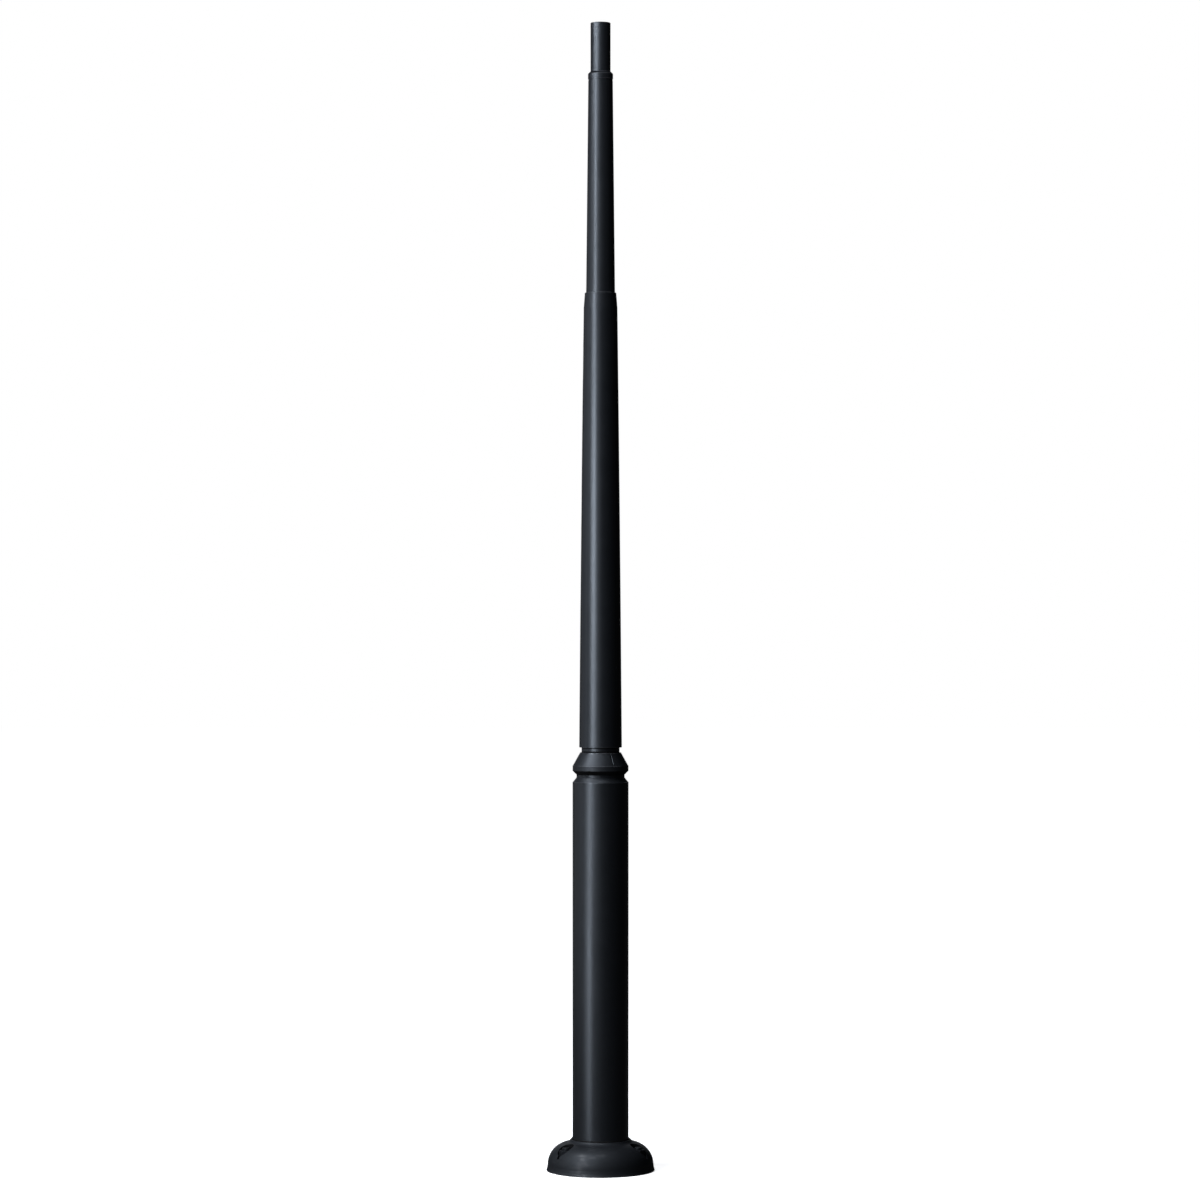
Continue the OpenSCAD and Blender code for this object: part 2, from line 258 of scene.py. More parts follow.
@dataclass(frozen=True)
class Arris:
    """A turned edge of the post on which the coating is rubbed thin and lighter, partly wear and partly a
    painted highlight.

    Attributes:
        radius: Its distance from the axis.
        height: Its height.
        width: Distance at which the rubbing ends.
        core: Share of that distance up to which it is full.
    """

    radius: float
    height: float
    width: float = 1.6 * MM
    core: float = 0.25

    def share(self, at: Spot) -> Wire:
        """1 on the edge, 0 a width away: its distance is sqrt((sqrt(x^2+y^2)-R)^2 + (z-H)^2)."""
        away = (at.x.slant(at.y) - self.radius).slant(at.z - self.height)
        return away.ramp(self.width, self.width * self.core)


@dataclass(frozen=True)
class Hatch:
    """The outline of a door that faces along Y, inside which the coating is rubbed thin.

    Attributes:
        half: Half of its width.
        low: Height of its lower edge.
        high: Height of its upper edge.
        width: Distance from the outline at which the rubbing ends.
        core: Distance up to which it is full.
    """

    half: float
    low: float
    high: float
    width: float = 3.0 * MM
    core: float = 0.8 * MM

    def share(self, at: Spot) -> Wire:
        """1 by the outline, 0 a width inside it: the least of half - |x|, z - low and high - z."""
        inside = (self.half - at.x.unsigned()).least((at.z - self.low).least(self.high - at.z))
        return inside.ramp(self.width, self.core)


@dataclass(frozen=True)
class Band:
    """A band of heights round the post.

    Attributes:
        low: Where it begins.
        high: Where it ends.
        soft: Height over which it fades beyond each.
    """

    low: float
    high: float
    soft: float = 0.4 * MM

    def share(self, at: Spot) -> Wire:
        """1 from low to high, falling to 0 beyond each."""
        return at.z.ramp(self.low - self.soft, self.low).least(at.z.ramp(self.high + self.soft, self.high))


@dataclass(frozen=True)
class Well:
    """The inside of a round well that stands along the post.

    Attributes:
        centre: Its place across the post.
        radius: Radius out to which its inside reaches.
        soft: Width over which it fades beyond.
    """

    centre: Pair
    radius: float = 24.4 * MM
    soft: float = 0.2 * MM

    def share(self, at: Spot) -> Wire:
        """1 where the distance from the centre, sqrt((x-X)^2 + (y-Y)^2), is less than the radius."""
        away = (at.x - self.centre[0]).slant(at.y - self.centre[1])
        return away.ramp(self.radius + self.soft, self.radius)


@dataclass(frozen=True)
class Split:
    """A split through the axis whose edges are eased.

    Attributes:
        bearing: Its direction in degrees, from +X towards +Y.
        low: Height from which the eased edges are full.
        run_in: Height over which they begin, below that.
        ease: Width of each eased edge.
        steep: Depth of an eased edge as a share of its width.
    """

    bearing: float
    low: float
    run_in: float = 8.0 * MM
    ease: float = 2.6 * MM
    steep: float = 0.8

    def bent(self, graph: Graph, at: Spot, normal: Wire) -> Wire:
        """Bends the normal on both eased edges.

        Args:
            graph: The material's graph.
            at: Where on the post.
            normal: The normal to bend.

        Returns:
            The normal bent by a height that grows from 0 on the split to 1 an ease away. The
            distance from the split is |x sin a - y cos a|, with a for its bearing.
        """
        turn = math.radians(self.bearing)
        off = at.x * math.sin(turn) - at.y * math.cos(turn)
        below = at.z.ramp(self.low, self.low - self.run_in)
        return graph.bump(off.unsigned().ramp(0.0, self.ease).most(below), self.ease * self.steep, normal)


@dataclass(frozen=True)
class PaintedShade:
    """Painted shade: a dark matt coat laid in recesses and under overhangs, where shade falls.

    Attributes:
        places: The bands and wells that it lies in.
        colour: Linear colour.
        gloss_off: Roughness.
        level: Strength of its reflections.
        cover: Share of the coat that it hides in the darkest clouds.
        patchy: How much more it hides in the lightest.
    """

    places: tuple[Band | Well, ...]
    colour: Triple = (0.0035, 0.0035, 0.0038)
    gloss_off: float = 0.9
    level: float = 0.05
    cover: float = 0.78
    patchy: float = 0.3

    def over(self, graph: Graph, at: Spot, normal: Wire, coat: Wire) -> Wire:
        """Lays the painted shade over a coat.

        Args:
            graph: The material's graph.
            at: Where on the post.
            normal: The coat's normal.
            coat: The coat's shader.

        Returns:
            The coat with the painted shade in its places, broken up by the clouds.
        """
        share = reduce(Wire.most, [place.share(at) for place in self.places])
        hidden = share * (self.cover + self.patchy * at.cloud)
        # The painted shade's own dark, matt coat.
        painted_shade = graph.out("ShaderNodeBsdfPrincipled", sockets={
            "Base Color": self.colour, "Roughness": self.gloss_off, "Specular IOR Level": self.level,
            "Normal": normal})
        return graph.out("ShaderNodeMixShader", sockets={0: hidden, 1: coat, 2: painted_shade})


@dataclass(frozen=True)
class SmoothBand:
    """A band on which the coat flowed out smoother, and its roughness there."""

    band: Band
    gloss_off: float


@dataclass(frozen=True)
class Film:
    """How the film of a powder coat varies. Each change is the one from the least to the most.

    Attributes:
        cloud: Width of the clouds in its thickness.
        streak: Width of the streaks that rain leaves.
        drawn: Height of a streak's pattern as a share, so that less of it is a longer streak.
        speck: Width of its specks.
        speck_depth: Depth of its specks.
        tone: Tone of the colour in the darkest cloud.
        cloud_tone: Change of the tone over a cloud.
        streak_tone: Change of the tone over a streak.
        cloud_rough: Change of the roughness over a cloud.
        streak_rough: Change of the roughness over a streak.
    """

    cloud: float = 55.0 * MM
    streak: float = 9.0 * MM
    drawn: float = 0.035
    speck: float = 1.1 * MM
    speck_depth: float = 0.006 * MM
    tone: float = 0.86
    cloud_tone: float = 0.20
    streak_tone: float = 0.10
    cloud_rough: float = 0.09
    streak_rough: float = 0.06


@dataclass(frozen=True)
class RubbingAndHighlight:
    """What rubbing does to the coat: lighter edges that are partly wear and partly a painted highlight.

    Attributes:
        colour: Linear colour of rubbed coat, light enough to paint a highlight on the edges.
        most: The most of it that shows.
        smooth: How much of the roughness it takes away.
        clouds: Values of the clouds from which it begins and at which it is full.
    """

    colour: Triple = (0.060, 0.062, 0.066)
    most: float = 0.55
    smooth: float = 0.05
    clouds: Pair = (0.35, 0.62)


# ---------------------------------------------------------------- finishes


@dataclass(frozen=True)
class SatinCoat:
    """Near-black satin powder coat, over drawn tube or over a casting.

    Attributes:
        name: Name of the material.
        gloss_off: Roughness where the coat is even.
        level: Strength of its reflections, 0.5 for a plain coat.
        skin: Width of the casting's own unevenness; 0 on tube.
        skin_depth: Depth of that unevenness.
        lacquer: Share of a clear film that gives a tight highlight over the broad one.
        lacquer_gloss_off: Roughness of that film.
        rubbed_and_lit: Edges on which the coat is rubbed and lighter, partly wear and partly a painted
            highlight.
        smooth: Bands on which it is smoother.
        split: A split with eased edges.
        painted_shade: Painted shade that lies in its recesses and under its overhangs.
        colour: Linear base colour.
        sheen: Tint of its reflections.
        peel: Width of the orange peel.
        peel_depth: Depth of the orange peel.
        film: How the film varies.
        rubbing_and_highlight: What rubbing and the painted edge highlight do.
    """

    name: str
    gloss_off: float = 0.40
    level: float = 0.5
    skin: float = 0.0
    skin_depth: float = 0.0
    lacquer: float = 0.0
    lacquer_gloss_off: float = 0.22
    rubbed_and_lit: tuple[Arris | Hatch, ...] = ()
    smooth: tuple[SmoothBand, ...] = ()
    split: Split | None = None
    painted_shade: PaintedShade | None = None
    colour: Triple = (0.0052, 0.0058, 0.0070)
    sheen: Triple = (0.83, 0.91, 1.0)
    peel: float = 2.2 * MM
    peel_depth: float = 0.035 * MM
    film: Film = Film()
    rubbing_and_highlight: RubbingAndHighlight = RubbingAndHighlight()

    def make(self) -> bpy.types.Material:
        """Builds the material.

        Returns:
            A material in which cloudy film thickness, fine streaks from rain and rubbed edges,
            lighter partly as wear and partly as a painted highlight, vary the colour and the roughness,
            and the peel, the skin and the specks are bumps. Painted shade lies over it in its places.
        """
        material = bpy.data.materials.new(self.name)
        graph, film = Graph(material), self.film
        place = graph.place()
        at = Spot(*graph.parts(place), graph.noise(place, film.cloud, detail=3.0, rough=0.55))
        drawn = graph.out("ShaderNodeMapping", {"vector_type": "POINT"},
                          {"Vector": place, "Scale": (1.0, 1.0, film.drawn)})
        streak = graph.noise(drawn, film.streak, rough=0.6) - 0.5
        tone = film.tone + film.cloud_tone * at.cloud + film.streak_tone * streak
        base = graph.scaled(self.colour, tone)
        rough = self.gloss_off + film.cloud_rough * (at.cloud - 0.5) + film.streak_rough * streak
        # Lighter coat on the edges: partly wear, partly a painted highlight.
        if self.rubbed_and_lit:
            worn_and_lit = self._worn_and_lit(at)
            base = worn_and_lit.between(base, self.rubbing_and_highlight.colour)
            rough = rough - self.rubbing_and_highlight.smooth * worn_and_lit
        for part in self.smooth:
            rough = part.band.share(at).between(rough, part.gloss_off)
        normal = self._normal(graph, place, at)
        coat = graph.out("ShaderNodeBsdfPrincipled", sockets={
            "Base Color": base, "Roughness": rough, "Normal": normal, "IOR": 1.5,
            "Specular Tint": self.sheen, "Specular IOR Level": self.level,
            "Coat Weight": self.lacquer, "Coat Roughness": self.lacquer_gloss_off})
        # Painted shade: a dark matt coat laid over the coat in recesses and under overhangs.
        if self.painted_shade is not None:
            coat = self.painted_shade.over(graph, at, normal, coat)
        graph.end("ShaderNodeOutputMaterial", coat)
        return material

    def _worn_and_lit(self, at: Spot) -> Wire:
        """Share of rubbed coat with its painted highlight, the most of its edges' shares, broken up by the
        clouds.
        """
        share = reduce(Wire.most, [edge.share(at) for edge in self.rubbed_and_lit])
        return share * at.cloud.ramp(*self.rubbing_and_highlight.clouds) * self.rubbing_and_highlight.most

    def _normal(self, graph: Graph, place: Wire, at: Spot) -> Wire:
        """Bends the normal by all that is uneven.

        Args:
            graph: The material's graph.
            place: Object coordinates.
            at: Where on the post.

        Returns:
            The normal after the orange peel, the split's edges, the casting's skin and the specks.
        """
        normal = graph.bump(graph.noise(place, self.peel, rough=0.45), self.peel_depth)
        if self.split is not None:
            normal = self.split.bent(graph, at, normal)
        if self.skin:
            normal = graph.bump(graph.noise(place, self.skin, detail=3.0), self.skin_depth, normal)
        return graph.bump(graph.noise(place, self.film.speck, detail=1.0), self.film.speck_depth, normal)


@dataclass(frozen=True)
class SealRubber:
    """Matt black rubber with fine dust in it.

    Attributes:
        name: Name of the material.
        colour: Linear colour of the rubber.
        dusty: Linear colour of the dust.
        dust_cover: The most of the dust that shows.
        dust_from: Values of the noise from which the dust begins and at which it is full.
        patch: Width of the patches of dust.
        grain: Width of the grain.
        grain_depth: Depth of the grain.
        gloss_off: Roughness of clean rubber.
        dust_rough: How much rougher dust makes it.
        level: Strength of its reflections.
    """

    name: str
    colour: Triple = (0.002, 0.002, 0.002)
    dusty: Triple = (0.006, 0.006, 0.006)
    dust_cover: float = 0.5
    dust_from: Pair = (0.5, 0.8)
    patch: float = 12.0 * MM
    grain: float = 0.8 * MM
    grain_depth: float = 0.02 * MM
    gloss_off: float = 0.66
    dust_rough: float = 0.16
    level: float = 0.15

    def make(self) -> bpy.types.Material:
        """Builds the material.

        Returns:
            A matt material with a fine grain, in which the dust shows in patches.
        """
        material = bpy.data.materials.new(self.name)
        graph = Graph(material)
        place = graph.place()
        dust = graph.noise(place, self.patch, detail=3.0, rough=0.6).ramp(*self.dust_from)
        graph.end("ShaderNodeOutputMaterial", graph.out("ShaderNodeBsdfPrincipled", sockets={
            "Base Color": (dust * self.dust_cover).between(self.colour, self.dusty),
            "Roughness": self.gloss_off + self.dust_rough * dust,
            "Normal": graph.bump(graph.noise(place, self.grain), self.grain_depth),
            "Specular IOR Level": self.level}))
        return material


@dataclass(frozen=True)
class PlainSteel:
    """Bare turned steel of the lock.

    Attributes:
        name: Name of the material.
        colour: Linear colour of the metal.
        gloss_off: Roughness where it is even.
        patch: Width of the patches in which it has dulled.
        grain: Width of the turned grain.
        grain_depth: Depth of the grain.
        tone: Tone of the colour in the darkest patch.
        patch_tone: Change of the tone over a patch.
        grain_tone: Change of the tone over the grain.
        patch_rough: Change of the roughness over a patch.
    """

    name: str
    colour: Triple = (0.24, 0.24, 0.25)
    gloss_off: float = 0.38
    patch: float = 6.0 * MM
    grain: float = 0.9 * MM
    grain_depth: float = 0.012 * MM
    tone: float = 0.78
    patch_tone: float = 0.34
    grain_tone: float = 0.08
    patch_rough: float = 0.18

    def make(self) -> bpy.types.Material:
        """Builds the material.

        Returns:
            A metal whose tone and roughness vary in patches, with a fine grain as its bump.
        """
        material = bpy.data.materials.new(self.name)
        graph = Graph(material)
        place = graph.place()
        fine = graph.noise(place, self.grain, rough=0.6)
        patch = graph.noise(place, self.patch, detail=3.0, rough=0.6)
        tone = self.tone + self.patch_tone * patch + self.grain_tone * (fine - 0.5)
        graph.end("ShaderNodeOutputMaterial", graph.out("ShaderNodeBsdfPrincipled", sockets={
            "Base Color": graph.scaled(self.colour, tone), "Metallic": 1.0,
            "Roughness": self.gloss_off + self.patch_rough * (patch - 0.5),
            "Normal": graph.bump(fine, self.grain_depth)}))
        return material


Finish = SatinCoat | SealRubber | PlainSteel


# ---------------------------------------------------------------- surfaces


def linked(name: str, data: bpy.types.ID) -> bpy.types.Object:
    """Makes an object and links it to the scene.

    Args:
        name: Its name.
        data: Its mesh, lamp or camera.

    Returns:
        The object.
    """
    made = bpy.data.objects.new(name, data)
    bpy.context.scene.collection.objects.link(made)
    return made


def grid_mesh(name: str, points: np.ndarray, closed: bool, sharp: float = 34.0) -> bpy.types.Object:
    """Makes a mesh from a grid of points whose last column joins the first.

    Args:
        name: Name of the piece.
        points: Array (rows, columns, 3); columns run anticlockwise about +Z, rows along the profile.
        closed: Whether the last row joins the first; otherwise both end rows are capped.
        sharp: Angle in degrees from which an edge is sharp.

    Returns:
        The object. Faces are (i,j) (i,j+1) (i+1,j+1) (i+1,j) on the grid, so that a profile that
        runs upwards on the outside has its faces outwards.
    """
    rows, cols = points.shape[:2]
    ring = np.arange(cols)
    i = np.arange(rows if closed else rows - 1)[:, None]
    i2, j, j2 = (i + 1) % rows, ring[None, :], (ring[None, :] + 1) % cols
    quads = np.stack([i * cols + j, i * cols + j2, i2 * cols + j2, i2 * cols + j], axis=-1).reshape(-1, 4)
    faces = quads.tolist()
    if not closed:
        faces += [ring[::-1].tolist(), (ring + (rows - 1) * cols).tolist()]
    mesh = bpy.data.meshes.new(name)
    mesh.from_pydata(points.reshape(-1, 3).tolist(), [], faces)
    mesh.polygons.foreach_set("use_smooth", np.ones(len(faces), dtype=bool))
    mesh.update()
    mesh.set_sharp_from_angle(angle=math.radians(sharp))
    return linked(name, mesh)


def turned(profile: np.ndarray, steps: int,
           radius_at: Callable[[np.ndarray, np.ndarray], np.ndarray] | None = None) -> np.ndarray:
    """Carries a profile round +Z.

    Args:
        profile: Array (rows, 2) of radius and height.
        steps: Number of columns.
        radius_at: Optional change of the radius, given radii (rows, 1) and angles (1, columns).

    Returns:
        Points (r cos a, r sin a, z) for every row and column.
    """
    angle = (np.arange(steps) * (2 * np.pi / steps))[None, :]
    radius = profile[:, :1] + 0 * angle
    if radius_at is not None:
        radius = radius_at(profile[:, :1], angle)
    height = profile[:, 1:2] + 0 * angle
    return np.stack([radius * np.cos(angle), radius * np.sin(angle), height], axis=-1)


def moved(points: np.ndarray, turn: float, to: Triple) -> np.ndarray:
    """Turns points about +Z and then moves them.

    Args:
        points: Array of points.
        turn: Angle t in radians, anticlockwise.
        to: Where the origin goes.

    Returns:
        The points (x cos t - y sin t, x sin t + y cos t, z) + to.
    """
    c, s = math.cos(turn), math.sin(turn)
    spin = np.array([[c, s, 0.0], [-s, c, 0.0], [0.0, 0.0, 1.0]])
    return points @ spin + np.array(to)


# ---------------------------------------------------------------- anchor fixings

WASHER_STEPS, NUT_STEPS, STUD_STEPS = 72, 144, 96
STUD_ROWS = 54
# Heights of the nut's rows above its end, through the chamfer.
NUT_ROWS = np.array([0.0, 0.3, 0.7, 1.1, 1.5, 1.9, 2.4]) * MM
# Radii of the rows across the stud's ends, as shares of its radius.
STUD_FOOT_ROWS = (0.004, 0.5)
STUD_TOP_ROWS = (0.55, 0.28, 0.004)


class Side(Enum):
    """The wells of the shoe, in their order round it."""

    BACK = "back"
    LEFT = "left"
    RIGHT = "right"


@dataclass
class AnchorFixing:
    """Stud end, hexagon nut and washer that hold the shoe down in one well.

    Attributes:
        side: Which well it stands in.
        place: Foot of the stud's axis on the well's seat.
        turn: Direction of the middle of one of the nut's flats, in radians.
        stud_r: Outside radius of the stud's thread.
        pitch: Pitch of the thread.
        thread_depth: Depth of the thread.
        stand: Height of the stud above the nut.
        sunk: Depth of its lower end in the nut.
        tip: Radius of its top inside the chamfer, as a share of its radius.
        flats: Distance across the nut's flats.
        nut_h: Height of the nut.
        nut_gap: Gap between the nut's bore and the thread.
        mouth: Width and height of the chamfer at the nut's bore.
        face: Radius of the nut's turned face, as a share of half its flats.
        chamfer: Angle of the nut's outer chamfer to its face, in degrees.
        washer_r: Outside radius of the washer.
        washer_h: Thickness of the washer.
        washer_gap: Gap between the washer's hole and the thread.
        washer_edge: Size of its broken edges.
    """

    side: Side
    place: Triple
    turn: float
    stud_r: float = 12.0 * MM
    pitch: float = 3.0 * MM
    thread_depth: float = 1.6 * MM
    stand: float = 7.0 * MM
    sunk: float = 4.0 * MM
    tip: float = 0.82
    flats: float = 36.0 * MM
    nut_h: float = 21.5 * MM
    nut_gap: float = 0.15 * MM
    mouth: float = 1.2 * MM
    face: float = 0.95
    chamfer: float = 30.0
    washer_r: float = 22.0 * MM
    washer_h: float = 4.0 * MM
    washer_gap: float = 0.5 * MM
    washer_edge: float = 0.5 * MM

    def washer(self) -> bpy.types.Object:
        """Flat ring with broken edges.

        Returns:
            The piece, its profile closed on itself.
        """
        e, r1, r2, h = self.washer_edge, self.stud_r + self.washer_gap, self.washer_r, self.washer_h
        under = [[r1, e], [r1 + e, 0], [r2 - e, 0], [r2, e]]
        over = [[r2, h - e], [r2 - e, h], [r1 + e, h], [r1, h - e]]
        points = turned(np.array(under + over), WASHER_STEPS)
        return grid_mesh(f"anchor_washer_{self.side.value}", moved(points, self.turn, self.place), True)

    def nut(self) -> bpy.types.Object:
        """Hexagon nut with turned chamfers.

        Returns:
            The piece. Its outside radius at angle a is the lesser of the hexagon's,
            (flats/2)/cos(((a+30) mod 60)-30) in degrees, and the chamfer cone's, which is the
            face's radius + (depth below the end)/tan(chamfer).
        """
        half, high, mouth = self.flats / 2, self.nut_h, self.mouth
        face, bore = half * self.face, self.stud_r + self.nut_gap
        rise = np.concatenate([NUT_ROWS, high - NUT_ROWS[::-1]])
        outside = np.column_stack([np.full_like(rise, half), rise])
        inside = [[bore + mouth, high], [bore, high - mouth], [bore, mouth]]
        profile = np.vstack([[[bore + mouth, 0.0]], outside, inside])
        row = np.arange(len(profile))[:, None]
        rim = (row >= 1) & (row <= len(rise))

        def hexagon(radius: np.ndarray, angle: np.ndarray) -> np.ndarray:
            """Limits the rim by the flats and by the two chamfer cones.

            Args:
                radius: Radius of each row.
                angle: Angle of each column.

            Returns:
                Radius of every point.
            """
            step = np.pi / 3
            flat = half / np.cos(np.mod(angle + step / 2, step) - step / 2)
            depth = np.minimum(profile[:, 1:2], high - profile[:, 1:2])
            cone = face + depth / math.tan(math.radians(self.chamfer))
            return np.where(rim, np.minimum(flat, cone), radius + 0 * angle)

        points = turned(profile, NUT_STEPS, hexagon)
        points[..., 2] += self.washer_h
        return grid_mesh(f"anchor_nut_{self.side.value}", moved(points, self.turn, self.place), True)

    def stud(self) -> bpy.types.Object:
        """Threaded stud end with a chamfer.

        Returns:
            The piece. Its radius at height z and angle a is
            R - depth * |2 frac(z/pitch - a/2pi) - 1|, and no more than the chamfer's cone allows.
        """
        base = self.washer_h + self.nut_h - self.sunk
        top = self.washer_h + self.nut_h + self.stand
        foot = [[self.stud_r * k, base] for k in STUD_FOOT_ROWS]
        height = np.linspace(base, top, STUD_ROWS)
        outside = np.column_stack([np.full_like(height, self.stud_r), height])
        profile = np.vstack([foot, outside, [[self.stud_r * k, top] for k in STUD_TOP_ROWS]])
        row = np.arange(len(profile))[:, None]
        rim = (row >= len(foot)) & (row < len(foot) + STUD_ROWS)

        def thread(radius: np.ndarray, angle: np.ndarray) -> np.ndarray:
            """Cuts the thread and the chamfer into the rim.

            Args:
                radius: Radius of each row.
                angle: Angle of each column.

            Returns:
                Radius of every point.
            """
            phase = np.mod(profile[:, 1:2] / self.pitch - angle / (2 * np.pi), 1.0)
            cut = self.stud_r - self.thread_depth * np.abs(2 * phase - 1)
            cone = self.stud_r * self.tip + (top - profile[:, 1:2])
            return np.where(rim, np.minimum(cut, cone), radius + 0 * angle)

        points = turned(profile, STUD_STEPS, thread)
        return grid_mesh(f"anchor_stud_{self.side.value}", moved(points, self.turn, self.place), False)

    def build(self, coat: bpy.types.Material) -> list[bpy.types.Object]:
        """Makes the three pieces, dresses them and lets them ride on the post.

        Args:
            coat: Their finish.

        Returns:
            The washer, the nut and the stud.
        """
        made = [self.washer(), self.nut(), self.stud()]
        for piece in made:
            piece.data.materials.append(coat)
            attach(piece, "root")
        return made


@dataclass
class Anchorage:
    """The three wells of the shoe with their fixings.

    Attributes:
        circle_r: Radius of the bolt circle.
        first: Bearing of the first well in degrees, from +X towards +Y.
        seat_z: Height of the wells' seats.
        nut_turns: How far each nut is turned from its well's bearing, in degrees.
        finish: Finish of the fixings.
    """

    circle_r: float = 125.0 * MM
    first: float = 94.0
    seat_z: float = 44.0 * MM
    nut_turns: Triple = (10.0, 50.0, 40.0)
    finish: SatinCoat = SatinCoat("coat_fixings", gloss_off=0.50, level=0.18)

    def bearings(self) -> list[float]:
        """Directions of the wells' centres in radians, at equal steps from the first."""
        return [math.radians(self.first + 360.0 / len(Side) * k) for k in range(len(Side))]

    def centres(self) -> list[Pair]:
        """Centres of the wells, on the bolt circle."""
        return [(self.circle_r * math.cos(a), self.circle_r * math.sin(a)) for a in self.bearings()]

    def build(self) -> list[bpy.types.Object]:
        """Puts a fixing in each well.

        Returns:
            All their pieces.
        """
        coat = self.finish.make()
        made: list[bpy.types.Object] = []
        for side, bearing, turn, (x, y) in zip(Side, self.bearings(), self.nut_turns, self.centres()):
            made += AnchorFixing(side, (x, y, self.seat_z), bearing + math.radians(turn)).build(coat)
        return made


# ---------------------------------------------------------------- the post's own nodes


@dataclass
class Coatings:
    """Which finish each node of the frame takes, with the places that the finishes follow.

    Attributes:
        lower_edges: Rubbed edges of the lower shaft, lighter partly as a painted highlight.
        middle_edges: Rubbed edges of the middle shaft, lighter partly as a painted highlight.
        upper_edges: Rubbed edges of the upper shaft, the adapter and the spigot, lighter partly as a painted
            highlight.
        collar_edges: Rubbed edges of the shoulder and the collar, lighter partly as a painted highlight.
        shoe_edges: Rubbed edges of the shoe, lighter partly as a painted highlight.
        shoulder_ledge: The shoulder's upper side, which is smoother.
        collar_top: The collar's top, which is smoother.
        collar_split: The collar's split that shows at the front.
        groove: The inside of the V groove, which gets painted shade.
        under_shaft: The neck under the middle shaft's foot, which gets painted shade.
        in_collar: The neck's foot in the collar, which gets painted shade.
    """

    lower_edges: tuple[Arris, ...] = (Arris(84.0 * MM, 1167.6 * MM),)
    middle_edges: tuple[Arris, ...] = (Arris(63.9 * MM, 1272.0 * MM), Arris(46.5 * MM, 2638.0 * MM))
    upper_edges: tuple[Arris, ...] = (Arris(37.6 * MM, 3281.0 * MM), Arris(37.6 * MM, 3296.4 * MM),
                                      Arris(31.0 * MM, 3303.0 * MM), Arris(30.0 * MM, 3449.5 * MM))
    collar_edges: tuple[Arris, ...] = (Arris(84.0 * MM, 1201.0 * MM), Arris(83.6 * MM, 1216.8 * MM),
                                       Arris(61.7 * MM, 1255.6 * MM))
    shoe_edges: tuple[Arris, ...] = (Arris(162.7 * MM, 3.0 * MM), Arris(88.0 * MM, 93.2 * MM))
    shoulder_ledge: SmoothBand = SmoothBand(Band(1183.6 * MM, 1188.6 * MM), 0.24)
    collar_top: SmoothBand = SmoothBand(Band(1253.0 * MM, 1257.0 * MM), 0.30)
    collar_split: Split = Split(bearing=-62.0, low=1226.0 * MM)
    groove: Band = Band(1189.4 * MM, 1202.6 * MM)
    under_shaft: Band = Band(1268.6 * MM, 1300.0 * MM)
    in_collar: Band = Band(1240.0 * MM, 1260.5 * MM)

    def finishes(self) -> dict[str, Finish]:
        """Chooses the finishes.

        Returns:
            The finish of each node by the node's name. Nodes made alike share one.
        """
        # The rubbed edges are lighter partly as wear and partly as a painted highlight.
        tube = SatinCoat("coat_lower_shaft", gloss_off=0.345, rubbed_and_lit=self.lower_edges)
        shaft = SatinCoat("coat_middle_shaft", gloss_off=0.335, rubbed_and_lit=self.middle_edges)
        top = SatinCoat("coat_upper_shaft", gloss_off=0.345, rubbed_and_lit=self.upper_edges)
        # Painted shade lies in the collar's V groove, in the shoe's wells and on the neck under the shaft's
        # foot and in the collar.
        cast = SatinCoat(
            "coat_collar", gloss_off=0.47, level=0.36, skin=11.0 * MM, skin_depth=0.08 * MM,
            rubbed_and_lit=self.collar_edges, smooth=(self.shoulder_ledge, self.collar_top),
            split=self.collar_split, painted_shade=PaintedShade((self.groove,)))
        shoe = SatinCoat(
            "coat_shoe", gloss_off=0.56, level=0.29, skin=13.0 * MM, skin_depth=0.12 * MM, lacquer=0.09,
            rubbed_and_lit=self.shoe_edges, painted_shade=PaintedShade(tuple(Well(centre) for centre in Anchorage().centres())))
        neck = SatinCoat("coat_neck", gloss_off=0.30, painted_shade=PaintedShade((self.under_shaft, self.in_collar)))
        low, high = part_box("door_leaf")
        door = SatinCoat("coat_door", gloss_off=0.345, rubbed_and_lit=(Hatch(high[0], low[2], high[2]),))
        plain = SatinCoat("coat_hidden")
        return {
            "base_shoe": shoe, "base_plate": plain, "neck_seal": SealRubber("seal_rubber"),
            "lower_shaft": tube, "door_frame": plain, "door_leaf": door,
            "door_lock": PlainSteel("lock_steel"), "shoulder": cast, "collar_front": cast,
            "collar_back": cast, "neck_tube": neck, "foot_ring": shaft, "mid_shaft": shaft,
            "upper_shaft": top, "adapter": top, "spigot": top,
        }

    def dress(self, node: str, material: bpy.types.Material) -> None:
        """Puts a material in every slot of a node's object.

        Args:
            node: Name of the node.
            material: Its finish.
        """
        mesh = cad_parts[node].data
        if not mesh.materials:
            mesh.materials.append(material)
        for place in range(len(mesh.materials)):
            mesh.materials[place] = material

    def build(self) -> dict[str, bpy.types.Material]:
        """Makes each finish once and dresses every node.

        Returns:
            The material of each node by the node's name.
        """
        made: dict[str, bpy.types.Material] = {}
        dressed: dict[str, bpy.types.Material] = {}
        for node, finish in self.finishes().items():
            if finish.name not in made:
                made[finish.name] = finish.make()
            dressed[node] = made[finish.name]
            self.dress(node, dressed[node])
        return dressed


# ---------------------------------------------------------------- light, floor and camera


